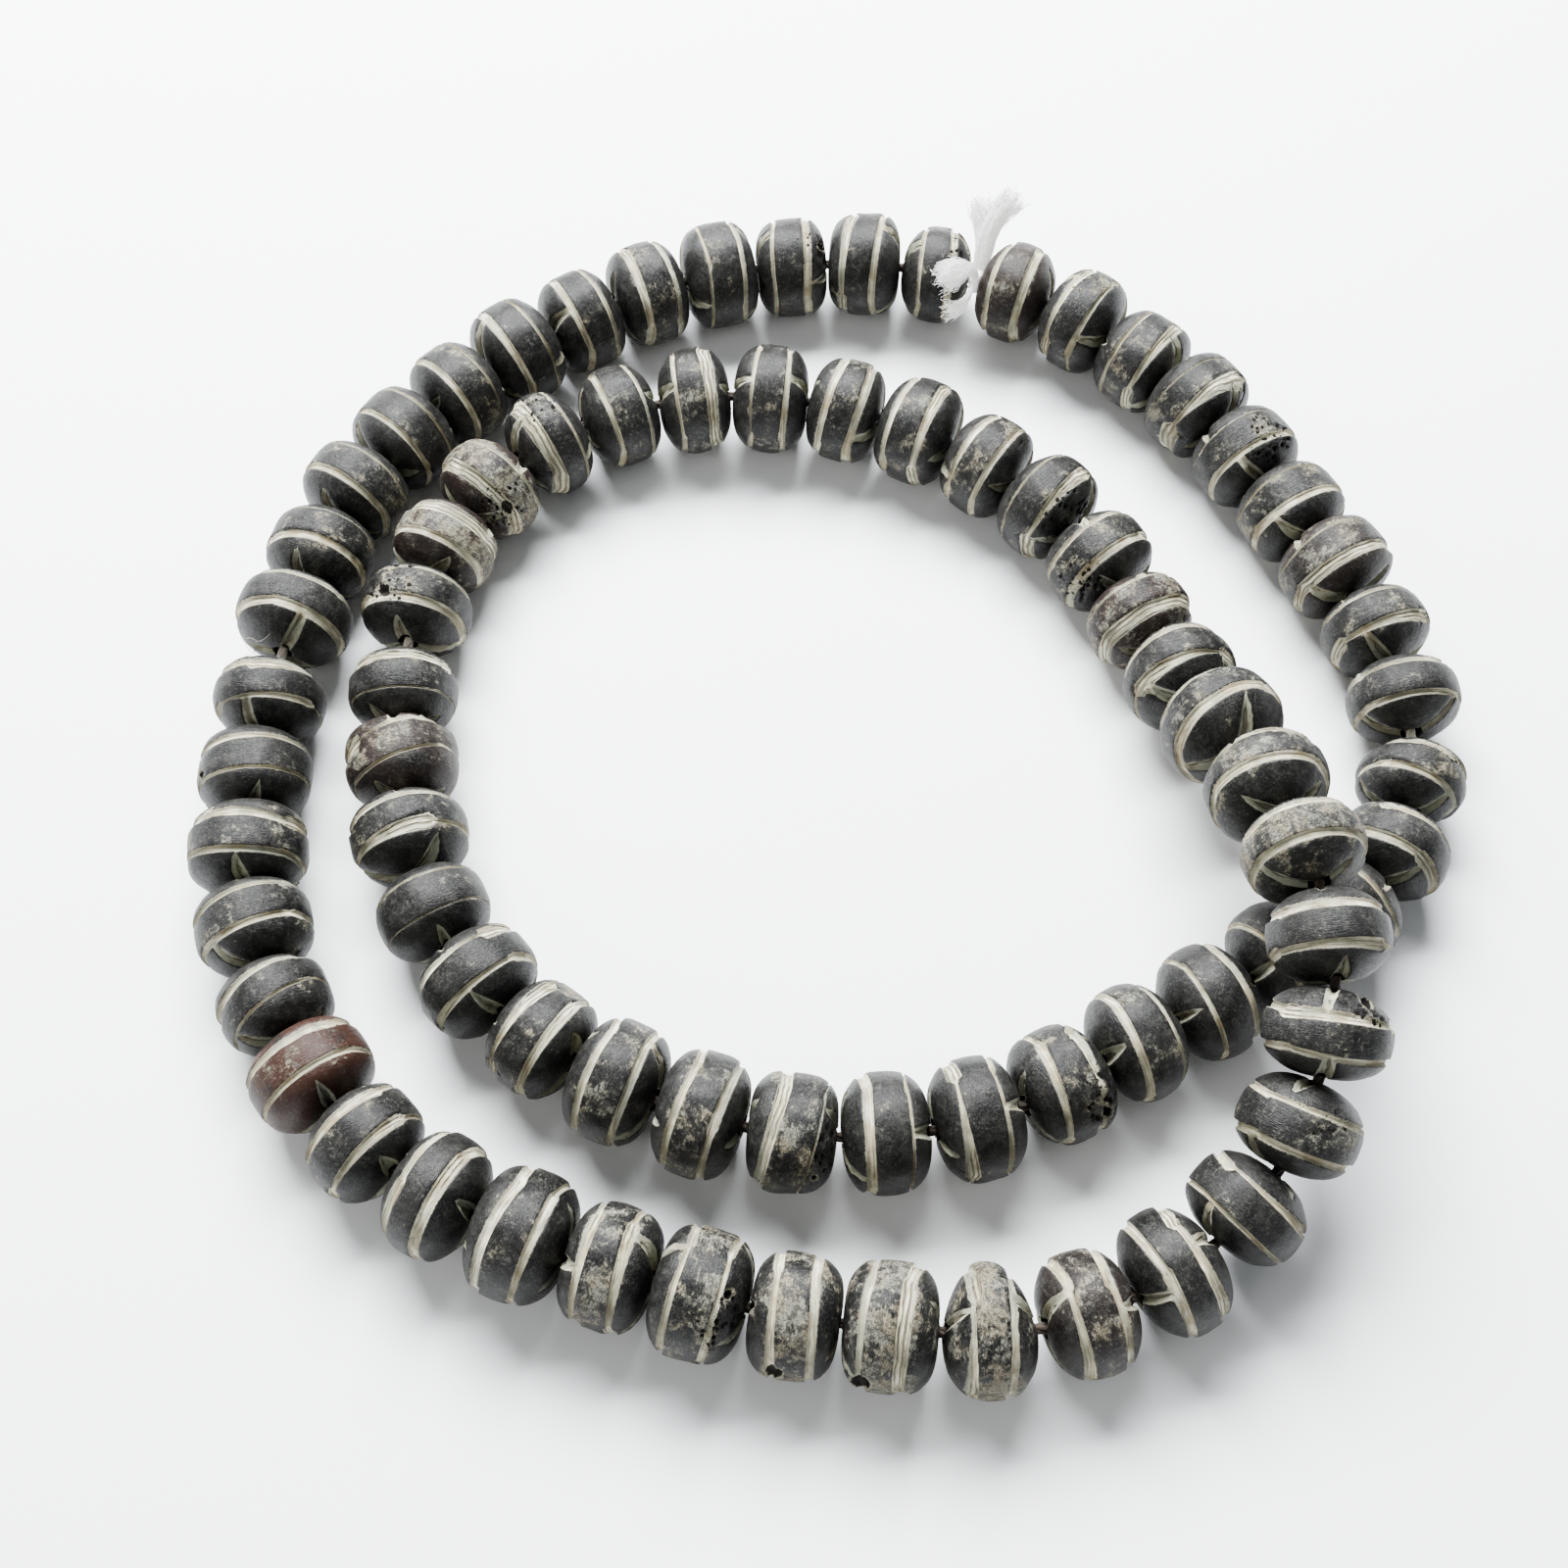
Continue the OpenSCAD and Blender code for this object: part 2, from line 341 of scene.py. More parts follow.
def measure_bead(points):
    """Middle, axis, diameter and length of one drilled, round bead."""
    middle = points.mean(0)
    spread, axes = np.linalg.eigh(np.cov((points - middle).T))
    axis = axes[:, 0] if spread[1] - spread[0] > spread[2] - spread[1] else axes[:, 2]
    along = (points - middle) @ axis
    middle = middle + axis * (along.max() + along.min()) / 2
    off = (points - middle) - np.outer((points - middle) @ axis, axis)
    radius = np.linalg.norm(off, axis=1).max()
    face = (1 - (HOLE_WIDTH / 2 / radius) ** BEAD_POWER) ** (1 / BEAD_POWER)
    long = (along.max() - along.min()) / face
    return {"middle": middle, "way": axis, "across": 2 * radius, "long": long}


def string_order(beads, first):
    """The beads from the one nearest to a point, each followed by its nearest neighbour."""
    left = list(beads)
    row = []
    here = np.array(first)
    while left:
        nearest = min(left, key=lambda bead: np.linalg.norm(bead["middle"] - here))
        left = [bead for bead in left if bead is not nearest]
        row.append(nearest)
        here = nearest["middle"]
    return row


def read_beads():
    row = []
    for node in ("beads_first_turn", "beads_second_turn"):
        turn = [measure_bead(points) for points in loose_parts(frame["nodes"][node])]
        row += string_order(turn, row[-1]["middle"] if row else FIRST_BEAD_NEAR)
    for number, bead in enumerate(row):
        before, after = row[number - 1]["middle"], row[(number + 1) % len(row)]["middle"]
        if bead["way"] @ (after - before) < 0:
            bead["way"] = -bead["way"]
        bead["side"] = np.cross((0, 0, 1), bead["way"])
        bead["side"] /= np.linalg.norm(bead["side"])
        bead["up"] = np.cross(bead["way"], bead["side"])
    return row


def close_up(row):
    """Flattens each bead's ends and moves them out until it all but touches its neighbours."""
    rooms = []
    for number, bead in enumerate(row):
        beside = row[(number + 1) % len(row)]
        bend = math.acos(min(1, beside["way"] @ bead["way"]))
        gap = np.linalg.norm(beside["middle"] - bead["middle"]) - (beside["long"] + bead["long"]) / 2
        rooms.append((bend, gap))
    shares = np.linspace(HOLE_WIDTH / BEAD_ACROSS, 0.95, 40)
    for number, bead in enumerate(row):
        joints = [rooms[number - 1], rooms[number]]
        for power in END_POWERS:
            inset = (1 - (1 - shares ** power) ** (1 / power)) * bead["long"] / 2
            spare = []
            for bend, gap in joints:
                lean = shares * bead["across"] / 2 * math.tan(bend / 2)
                spare.append(gap / 2 - TOUCHING_GAP - max(0, (lean - inset).max()))
            if min(spare) > 0:
                break
        if number + 1 in AT_THE_CROSSING or max(gap for bend, gap in joints) > BARE_GAP:
            power = BEAD_POWER
        first, last = [min(MOST_ADDED, max(0, room)) if gap < BARE_GAP else 0
                       for room, (bend, gap) in zip(spare, joints)]
        bead["power"] = power
        bead["long_seen"] = bead["long"] + first + last
        bead["middle_seen"] = bead["middle"] + bead["way"] * (last - first) / 2


BEADS = read_beads()
close_up(BEADS)

# Camera, floor and light

CAMERA_AT = Vector((-6.3, -121.7, 217.6)) * MM
CAMERA_DOWN = math.radians(62)

lens = bpy.data.cameras.new("camera")
lens.lens = 45
lens.sensor_width = 36
lens.clip_start = 0.01
camera = put_in_scene("camera", lens)
camera.location = CAMERA_AT
camera.rotation_euler = (math.pi / 2 - CAMERA_DOWN, 0, 0)
bpy.context.scene.camera = camera


def soft_light(name, place, size, watts, colour):
    """A pale rectangle of light that faces the middle of the necklace."""
    lamp = bpy.data.lights.new(name, "AREA")
    lamp.shape = "RECTANGLE"
    lamp.size, lamp.size_y = size
    lamp.energy = watts
    lamp.color = colour
    light = put_in_scene(name, lamp)
    light.location = place
    light.rotation_euler = (-Vector(place)).to_track_quat("-Z", "Y").to_euler()


soft_light("window_behind", (-0.10, 0.46, 0.56), (0.62, 0.42), 31.0, (0.97, 0.985, 1.0))
soft_light("room_left", (-0.6, -0.45, 0.55), (0.5, 0.5), 2.5, (1.0, 0.98, 0.95))

sky = bpy.data.worlds.new("pale_room")
sky.use_nodes = True
fill(sky.node_tree.nodes["Background"].inputs, Color=(0.82, 0.85, 0.88, 1), Strength=0.38)
bpy.context.scene.world = sky
bpy.context.scene.view_settings.look = "AgX - Medium High Contrast"


def new_finish(name, **values):
    """A material, its nodes and the sockets of its shader, with plain values on some of them."""
    material = bpy.data.materials.new(name)
    material.use_nodes = True
    skin = material.node_tree.nodes["Principled BSDF"].inputs
    fill(skin, **values)
    return material, material.node_tree, skin


def make_floor():
    w = 2.5
    floor = plain_mesh("floor", [(-w, -w, 0), (w, -w, 0), (w, w, 0), (-w, w, 0)], faces=[(0, 1, 2, 3)])
    floor.data.materials.append(
        new_finish("pale_floor", Roughness=0.75, Base_Color=(0.86, 0.87, 0.88, 1))[0])


make_floor()


# Finishes

def read_attribute(tree, name, kind="Fac"):
    return add(tree, "ShaderNodeAttribute", output=kind, settings={"attribute_name": name})


def bump(skin, height, distance):
    fill(skin, Normal=add(height.tree, "ShaderNodeBump", Distance=distance, Height=height))


# The colours of dyed bone: the black dye and what lies on it, the places that are rubbed pale,
# the raw bone in the cuts, with painted shade on their outer slopes and edges, and the holes,
# painted near black as shade.
BONE = {name: (*colour, 1) for name, colour in {
    "deep black": (0.006, 0.006, 0.006), "soft black": (0.017, 0.0165, 0.016),
    "grey bloom": (0.060, 0.058, 0.052), "grey specks": (0.10, 0.10, 0.094),
    "brown dye": (0.042, 0.018, 0.012), "scuffs": (0.085, 0.086, 0.078), "dust": (0.16, 0.157, 0.135),
    "worn grey": (0.155, 0.155, 0.130), "worn tan": (0.165, 0.142, 0.098),
    "rubbed grain": (0.36, 0.35, 0.275), "dark specks": (0.022, 0.019, 0.016),
    "blots": (0.030, 0.028, 0.024),
    "cream": (0.47, 0.445, 0.325), "dull": (0.30, 0.295, 0.22), "clean": (0.66, 0.63, 0.50),
    "tan stain": (0.28, 0.215, 0.125), "painted slope shade": (0.17, 0.17, 0.13), "grey end": (0.21, 0.235, 0.195),
    "file dirt": (0.15, 0.125, 0.085), "furrow dirt": (0.115, 0.105, 0.078),
    "dirt specks": (0.10, 0.08, 0.06), "edge dirt and painted shade": (0.14, 0.125, 0.10),
    "rim": (0.30, 0.28, 0.21), "hole": (0.006, 0.005, 0.004),
}.items()}
BONE_GLOSS = 0.26
# How much higher a raised grain stands, in metres.
BONE_RELIEF = 0.00014


def dyed_bone_finish():
    """Black-dyed bone, rubbed to grey and tan, with raw bone where it was cut after dyeing."""
    material, tree, skin = new_finish("dyed_bone", Roughness=0.4, Specular_IOR_Level=BONE_GLOSS)
    own = read_attribute(tree, "own_place", "Vector")
    cut, across, hollow, open_bone = [
        read_attribute(tree, name) for name in ("cut", "cut_across", "hollow", "open_bone")]
    worn, brown, far_out = parts(read_attribute(tree, "look", "Vector"))
    x, y, z = parts(own)

    # Rubbed places: clouds of grey and tan in patches, broken up by fine grain and dark specks,
    # and pale dust that clings to the black between them.
    clouds = noise(own, 0.26, 4, 0.6)
    grain = noise(whole(x * 2.4, y * 0.85, z * 0.85), 1.9, 4, 0.76)
    specks = noise(own, 5.5, 2, 0.6)
    patches = noise(own, 0.8, 4, 0.68)
    rubbed = (clouds - 0.5) * 2.9 + (patches - 0.5) * 1.7 + (grain - 0.5) * 1.25 + worn * 1.15 - 0.74
    rubbed = rubbed - far_out * 0.5 + open_bone * 0.35
    rubbed = rubbed.fade(-0.08, 0.34)
    scuffs = noise(whole(x * 2.4, y, z), 2.6, 3, 0.7).fade(0.52, 0.74)
    dust = noise(own, 2.3, 4, 0.85).fade(0.52, 0.62) * noise(own, 0.55, 3, 0.7).fade(0.42, 0.60)
    dust = dust * (worn * 0.6 + 0.5).at_most(1.0) * (1.0 - far_out * 0.4)
    blots = noise(own, 1.25, 3, 0.75).fade(0.51, 0.44)

    black = coated(
        mix(clouds.fade(0.35, 0.65), BONE["deep black"], BONE["soft black"]),
        (patches.fade(0.46, 0.64) * 0.30, BONE["grey bloom"]),
        (specks.fade(0.56, 0.70) * 0.35, BONE["grey specks"]),
        (brown * clouds.fade(0.3, 0.5), BONE["brown dye"]),
        (scuffs * 0.5, BONE["scuffs"]),
        (dust * 0.62, BONE["dust"]))
    pale = coated(
        mix(noise(own, 0.36, 3).fade(0.42, 0.58), BONE["worn grey"], BONE["worn tan"]),
        (grain.fade(0.44, 0.76), BONE["rubbed grain"]),
        (specks.fade(0.48, 0.34) * 0.8, BONE["dark specks"]),
        (blots * 0.72, BONE["blots"]))
    dyed = mix(rubbed * 0.92, black, pale)

    # Raw bone in the rings and notches, with the lines of the file and a little old dirt, and painted
    # shade greying the outer slope of each cut and darkening its edges. A wide ring was filed three
    # times side by side.
    file_lines = noise(whole(across * 1.5 + x * 0.3, y * 0.14, z * 0.14), 1.6, 3, 0.65)
    chips = noise(own, 3.0, 3, 0.65)
    edge = cut + (chips - 0.5) * 0.20
    raw = edge.fade(-0.02, 0.03)
    wide = (cut / (1.04 - abs(across)).at_least(0.06)).fade(0.58, 0.72)
    furrows = (across * 8.6 + (noise(own, 0.3, 2) - 0.5) * 9.0).sin().fade(0.15, 0.8) * wide
    bone = coated(
        mix(noise(own, 0.42, 3).fade(0.40, 0.62), BONE["cream"], BONE["dull"]),
        (noise(own, 0.22, 1).fade(0.50, 0.62) * 0.7, BONE["clean"]),
        (noise(own, 0.27, 2).fade(0.53, 0.64) * 0.6, BONE["tan stain"]),
        # Painted shade: the raw bone greys across each cut from its belly side to its outer side, for the
        # shading of the cut's step.
        ((across + (chips - 0.5) * 0.9).fade(-0.1, 0.7) * 0.5, BONE["painted slope shade"]),
        (far_out.fade(0.3, 0.9) * 0.5, BONE["grey end"]),
        (file_lines.fade(0.50, 0.60) * 0.68, BONE["file dirt"]),
        (furrows * 0.8, BONE["furrow dirt"]),
        (specks.fade(0.60, 0.72) * 0.5, BONE["dirt specks"]),
        # Dirt and painted shade: a thin dark line along the edges of each cut, partly the shade of its
        # step.
        (edge.fade(0.15, 0.0) * 0.45, BONE["edge dirt and painted shade"]))

    # Open pores of coarse bone, single holes, and the odd dark pit, all painted near black as the shade
    # inside them.
    deep = pore_field(cells(own, 1.15), open_bone).fade(0.02, 0.12)
    fine_pores = (0.30 - cells(own, 3.1)) * open_bone.fade(0.0, 0.4)
    fine_pores = fine_pores - (1.0 - open_bone.fade(0.0, 0.3)) * 0.16
    deep = deep.at_least(fine_pores.fade(0.0, 0.08))
    deep = deep.at_least((hollow + (chips - 0.5) * 0.25).fade(0.0, 0.12))
    pits = (0.13 - cells(own, 1.7)).fade(0.0, 0.05) * noise(own, 0.7, 1).fade(0.5, 0.6)
    deep = deep.at_least(pits * 0.8)
    rim = (hollow + (chips - 0.5) * 0.3).fade(-0.25, -0.02) * (1.0 - deep)
    # Painted shade: the holes, pores and pits are coloured near black, for the shade deep inside them.
    colour = coated(mix(raw, dyed, bone), (rim * 0.6, BONE["rim"]), (deep * 0.96, BONE["hole"]))

    rough = 0.39 + rubbed * 0.22 + (grain - 0.5) * 0.35 + scuffs * 0.08 + dust * 0.25
    fill(skin, Base_Color=colour, Roughness=pick(deep, pick(raw, rough, 0.72), 1.0))

    scratches = noise(whole(x * 9.0, y * 0.8, z * 0.8), 1.0, 2, 0.5)
    height = (file_lines * 1.3 - furrows * 1.5) * raw + (grain * 0.7 + scratches * 0.3) * (1.0 - raw)
    bump(skin, height, BONE_RELIEF)
    return material


def pore_field(pores, open_bone):
    """Over zero inside the coarse pores of open bone, where there is any."""
    return (0.42 - pores) * open_bone.fade(0.15, 0.6) - (1.0 - open_bone.fade(0.1, 0.5)) * 0.3


def cotton_fibre_group():
    """Spun cotton: the fine lines of its fibres along the strand, in two colours, the darker one painted as
    shade in the low parts of the relief between the fibres.
    """
    group, given, result = new_tree("Shader", "cotton_fibre", [
        ["Place", "Vector"], ["Fibres per millimetre", "Float"], ["Shade", "Color"],
        ["Light fibre", "Color"], ["Light share", "Float"],
    ], [["Colour", "Color"], ["Height", "Float"]])
    along, beside, above = parts(given["Place"])
    fibre = noise(whole(along * 0.3, beside, above), given["Fibres per millimetre"], 3, 0.6)
    # Painted shade: the colour is darker where the fibre relief is low, between the fibres.
    colour = mix(fibre.fade(0.35, 0.7) * given["Light share"], given["Shade"], given["Light fibre"])
    fill(result, Colour=colour, Height=fibre)
    return group


def cotton(tree, skin, relief, fibres, shade, light, share):
    """Puts the colour and the relief of the cotton fibre effect on a finish."""
    colour = add(tree, "ShaderNodeGroup", read_attribute(tree, "own_place", "Vector"), "Colour",
                 {"node_tree": COTTON_FIBRE}, Fibres_per_millimetre=fibres, Shade=shade, Light_fibre=light,
                 Light_share=share)
    fill(skin, Base_Color=colour)
    bump(skin, other_output(colour, "Height"), relief)


def thread_finish():
    """Cotton strands, cream under old soil where they are bare, and painted dark as shade between the
    beads.
    """
    material, tree, skin = new_finish("soiled_cotton_thread", Roughness=0.85, Sheen_Weight=0.2)
    soil = noise(read_attribute(tree, "own_place", "Vector"), 0.35, 3).fade(0.35, 0.75)
    bare = read_attribute(tree, "bare").fade(0.1, 0.9)
    shade = mix(soil, (0.70, 0.64, 0.53, 1), (0.46, 0.38, 0.29, 1))
    # Painted shade: where the thread is not bare it runs between or inside the beads, and is coloured near
    # black.
    shade = mix(bare, (0.045, 0.032, 0.024, 1), shade)
    light = mix(bare, (0.09, 0.07, 0.055, 1), (0.90, 0.86, 0.76, 1))
    cotton(tree, skin, 0.00007, 7.0, shade, light, 0.85)
    return material


def glowing_white_cotton_finish():
    """Bright frayed cotton at the knot, with a painted glow, a weak emission, for the light that shines
    through it.
    """
    # Painted light: the emission makes the cotton glow a little, though it is no lamp.
    material, tree, skin = new_finish("frayed_white_cotton_glowing", Roughness=0.9, Sheen_Weight=0.3,
                                      Emission_Color=(1.0, 0.99, 0.97, 1), Emission_Strength=0.5)
    # Painted shade: grey between the white fibres; the cotton itself is white.
    cotton(tree, skin, 0.00012, 2.6, (0.66, 0.66, 0.65, 1), (1.0, 1.0, 0.995, 1), 1.0)
    return material


COTTON_FIBRE = cotton_fibre_group()
DYED_BONE = dyed_bone_finish()
SOILED_COTTON = thread_finish()
WHITE_COTTON = glowing_white_cotton_finish()


# Help for the node-made pieces

def field(tree, name, kind="FLOAT"):
    return add(tree, "GeometryNodeInputNamedAttribute", settings={"data_type": kind}, Name=name)


def vector_field(tree, name):
    return field(tree, name, "FLOAT_VECTOR")


def keep(geometry, name, value, kind="FLOAT"):
    """Keeps a value for each point under a name."""
    return add(geometry.tree, "GeometryNodeStoreNamedAttribute", geometry,
               settings={"data_type": kind, "domain": "POINT"}, Name=name, Value=value)


def keep_vector(geometry, name, value):
    return keep(geometry, name, value, "FLOAT_VECTOR")


def finished(geometry, material):
    """The last nodes of every tree."""
    for kind in ("GeometryNodeSetShadeSmooth", "GeometryNodeRealizeInstances"):
        geometry = add(geometry.tree, kind, geometry)
    return add(geometry.tree, "GeometryNodeSetMaterial", geometry, Material=material)


def node_made(name, start, tree, values, material):
    """Runs a geometry node tree on a starting object and returns the plain mesh that it makes."""
    modifier = start.modifiers.new("made", "NODES")
    modifier.node_group = tree
    by_name = {s.name: s.identifier for s in tree.interface.items_tree
               if getattr(s, "in_out", "") == "INPUT"}
    for label, value in values.items():
        modifier[by_name[label]] = value
    bpy.context.view_layer.update()
    made = start.evaluated_get(bpy.context.evaluated_depsgraph_get())
    mesh = bpy.data.meshes.new_from_object(made)
    start.modifiers.remove(modifier)
    bpy.data.objects.remove(start)
    mesh.name = name
    mesh.materials.clear()
    mesh.materials.append(material)
    return put_in_scene(name, mesh)


def stands_for(piece, node, slot, *names):
    """Drops the values that only the tree needed, hangs the piece on the root body and hides the CAD part
    that it stands for.
    """
    values = piece.data.attributes
    for name in [a.name for a in values if not a.is_internal and not a.is_required]:
        if name not in ("position", "sharp_face", "material_index", *names):
            values.remove(values[name])
    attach(piece, "root")
    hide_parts(node)


# The bead blank

# Points round a bead.
COLUMNS = 80


def bead_rows():
    """Row numbers down a bead: 0 and 5 are the edges of the hole, 1 to 2 and 3 to 4 are the bands
    of the two rings, 2 to 3 is the belly, and from 5 to 6 the bore runs back."""
    face = [0, 0.025] + list(np.linspace(0.075, 1, 15)[:-1])
    band = [0, 0.1, 0.2, 0.4, 0.6, 0.8, 0.9]
    belly = list(np.linspace(0, 1, 9)[:-1])
    rows = face + [1 + v for v in band] + [2 + v for v in belly] + [3 + v for v in band]
    rows += [4] + [5 - v for v in reversed(face[1:])] + [5]
    return rows + [5.02, 5.26, 5.5, 5.74, 5.98]


def bead_blank():
    """A closed, drilled drum whose points know their row and their turn about the axis."""
    rows = bead_rows()
    row = np.repeat(rows, COLUMNS)
    turn = np.tile(np.linspace(0, math.tau, COLUMNS, endpoint=False), len(rows))
    x = np.where(row <= 5, row - 2.5, 2.5 - (row - 5) * 5)
    radius = np.where(row <= 5, 1 + np.sqrt(np.maximum(0, 6.26 - x * x)), 0.9)
    points = np.column_stack([x, radius * np.cos(turn), radius * np.sin(turn)]) * MM
    faces = []
    for a in range(0, len(row), COLUMNS):
        b = (a + COLUMNS) % len(row)
        faces += [(a + j, a + (j + 1) % COLUMNS, b + (j + 1) % COLUMNS, b + j) for j in range(COLUMNS)]
    return plain_mesh("bead_blank", points, faces=faces, row_at=row, turn=turn)


# Carving the beads

# A ring has three file strokes, and an end face three notches, this far apart.
THIRD = math.radians(120)
# The rows of the mesh beside a ring, in half widths of the ring from its middle.
BAND = 1.25
# How far from the axis the drum's surface is at a ring, as a share of its radius.
RING_REACH = 0.945
# The two ends of a bead: which way along it, and its name among the values.
ENDS = ((-1.0, "before"), (1.0, "after"))


def carving_tree(material):
    """Sets a blank at each bead, shapes it to its size and cuts its rings, notches and holes."""
    tree, given, result = new_tree("Geometry", "carved_beads", [
        ["Geometry", "Geometry"], ["Bead blank", "Object"], ["Hole width", "Float", HOLE_WIDTH],
        ["Ring depth", "Float", 0.38], ["Notch depth", "Float", 0.5],
        ["Lip slope", "Float", 0.12], ["Unevenness", "Float", 0.25],
    ])

    blank = add(tree, "GeometryNodeObjectInfo", output="Geometry", Object=given["Bead blank"])
    beads = add(tree, "GeometryNodeInstanceOnPoints", given["Geometry"], Instance=blank)
    beads = add(tree, "GeometryNodeRealizeInstances", beads)

    def three(name):
        return parts(vector_field(tree, name))

    row, turn, across_bead, long, seed, power = [
        field(tree, name) for name in ("row_at", "turn", "across", "long", "seed", "power")]
    radius, half = across_bead * 0.5, long * 0.5
    tilt, tilt_turn, pear = three("form")
    wedge, wedge_turn, _ = three("wedge")
    flat, flat_turn, open_amount = three("flaw")

    def ring_strokes(side, name, reach):
        """The three file strokes of one ring where the bead's surface is reach from the axis: for
        each, how far along the bead it runs there, and half its width there."""
        place, width, start = three("ring_" + name)
        tilted = (turn - tilt_turn).cos() * reach * tilt * side
        strokes = []
        for number, lean, taper in zip(range(3), three("lean_" + name), three("taper_" + name)):
            about = turn - start - number * THIRD
            ahead, beside = about.cos(), about.sin()
            run = place * half * 2 + lean * (reach * ahead - radius * 0.75) + tilted
            # A stroke ends bluntly on its broad side and runs out thin on the other.
            blunt = (beside * taper).over(0)
            end = (ahead - pick(blunt, 0.28, 0.36)) / pick(blunt, 0.22, 0.09)
            strokes.append((run, width * (1 + taper * beside) * end.at_most(1)))
        return strokes

    def ring_band(side, name):
        """The middle of the ring, and half its width, for the rows of the mesh to follow."""
        strokes = ring_strokes(side, name, radius * RING_REACH)
        run, width = strokes[0]
        for other_run, other_width in strokes[1:]:
            further = other_run.over(run)
            width = pick(further, width, other_width)
            run = run.at_least(other_run)
        return run, width.at_least(0.25)

    def drum_angle(along):
        share = (along / half).at_most(0.95).at_least(0.02)
        return share.op("ARCSINE", share ** (power * 0.5))

    hole_angle = radius.op("ARCCOSINE", (given["Hole width"] * 0.5 / radius) ** (power * 0.5))
    (before_run, before_width), (after_run, after_width) = [ring_band(*end) for end in ENDS]
    stops = [
        hole_angle * -1.0,
        drum_angle(before_run + before_width * BAND) * -1.0,
        drum_angle(before_run - before_width * BAND) * -1.0,
        drum_angle(after_run - after_width * BAND),
        drum_angle(after_run + after_width * BAND),
        hole_angle,
    ]
    angle = stops[0]
    for number in range(5):
        angle = angle + (row - number).fade(0, 1, soft=False) * (stops[number + 1] - stops[number])

    share = abs(angle.sin()) ** (2.0 / power)
    reach_share = abs(angle.cos()) ** (2.0 / power)
    sign = angle.op("SIGN", angle)
    in_bore = row.over(5.001)
    bore_share = 1.0 - (row - 5.0) * 2.0
    x = half * share * sign * pick(in_bore, 1.0, bore_share)
    drum_reach = radius * reach_share * (1.0 - pear * (0.5 - share * sign * 0.5) ** 2.0)
    drum_reach = drum_reach * (1.0 - flat * (turn - flat_turn).cos().fade(0.3, 1.0))
    reach = pick(in_bore, drum_reach, given["Hole width"] * 0.5)
    x = x * (1.0 - wedge * ((turn - wedge_turn).cos() * 0.5 + 0.5) * (reach / radius))
    smooth_form = whole(x, reach * turn.cos(), reach * turn.sin())

    # The way out of the drum's surface.
    out_x = sign * share ** (power - 1.0) / half
    out_r = reach_share ** (power - 1.0) / radius
    outwards = vector_sum("NORMALIZE", whole(out_x, out_r * turn.cos(), out_r * turn.sin()))

    own = vector_sum("ADD", smooth_form, whole(seed * 31.7, seed * 17.3, seed * 5.9))
    fray = (noise(own, 1.1, 2) - 0.5) * 0.10

    # Rings.
    cut, across, hollowness = None, None, None

    def deepest(one, one_across, one_depth):
        """Keeps the cut that a point is furthest inside of."""
        nonlocal cut, across, hollowness
        if cut is None:
            cut, across, hollowness = one, one_across, one_depth
            return
        more = one.over(cut)
        across = pick(more, across, one_across)
        hollowness = hollowness.at_least(one_depth)
        cut = cut.at_least(one)

    beyond = {}
    for side, name in ENDS:
        beyond[name] = 9.0
        for run, width in ring_strokes(side, name, reach):
            off = x * side - run
            one = width - abs(off) + fray
            off_share = off / width.at_least(0.1)
            steep = off_share.fade(-1.0, 1.0, 1.15, 0.75, soft=False)
            deepest(one, off_share, one.fade(0, given["Lip slope"]) * given["Ring depth"] * steep)
            beyond[name] = (off + width.fade(0.05, 0.0) * 9.0).at_most(beyond[name])

    # Notches, three on each end face, wide at the hole and pointed towards the ring.
    for side, name in ENDS:
        start, size, point = three("notch_" + name)
        for number, length in zip(range(3), three("reach_" + name)):
            about = turn - start - number * THIRD
            out = (84.0 - angle * side * (180 / math.pi)) / length
            width = size * (1.0 - out.at_least(0.0) ** point) * out.fade(-0.3, 0.25, 0.6, 1.0)
            off = reach * about.sin()
            one = width.at_most(about.cos() * 8.0) - abs(off) + fray
            one = pick((x * side).over(0), -1.0, one.at_most(beyond[name]))
            deepest(one, off * 0.4 + 0.3, one.fade(0, 0.5) * given["Notch depth"])

    # Coarse open bone and single holes.
    open_far = vector_sum("DISTANCE", smooth_form, vector_field(tree, "open_at"))
    open_bone = open_amount * open_far.fade(6.0, 1.5) * (noise(own, 0.45, 2).fade(0.3, 0.55))
    pore_hollow = pore_field(cells(own, 1.15), open_bone).fade(0.0, 0.2) * 0.5
    hole_far = vector_sum("SUBTRACT", smooth_form, vector_field(tree, "hole_at"))
    hole_way = vector_field(tree, "hole_way")
    hole_deep = vector_sum("DOT_PRODUCT", hole_far, hole_way)
    hole_wide = vector_sum("LENGTH", vector_sum("CROSS_PRODUCT", hole_far, hole_way))
    hollow = pick(hole_deep.over(-4.0), -5.0, field(tree, "hole_radius") - hole_wide)
    hole_hollow = hollow.fade(0, 0.3) * 0.7

    lumps = noise(own, 0.16, 2).fade(0.3, 0.7, soft=False) * given["Unevenness"]
    lumps = (lumps + (noise(own, 0.55, 2) - 0.2) * 0.12) * share.fade(0.97, 0.75)
    depth = hollowness.at_least(pore_hollow).at_least(hole_hollow) + lumps
    depth = pick(in_bore, depth, 0.0)
    shaped = moved(smooth_form, (outwards, depth * -1.0))

    steps = [(vector_field(tree, way), far) for way, far in zip(("way", "side", "up"), parts(shaped))]
    world = vector_sum("SCALE", moved(vector_field(tree, "middle"), *steps), MM)

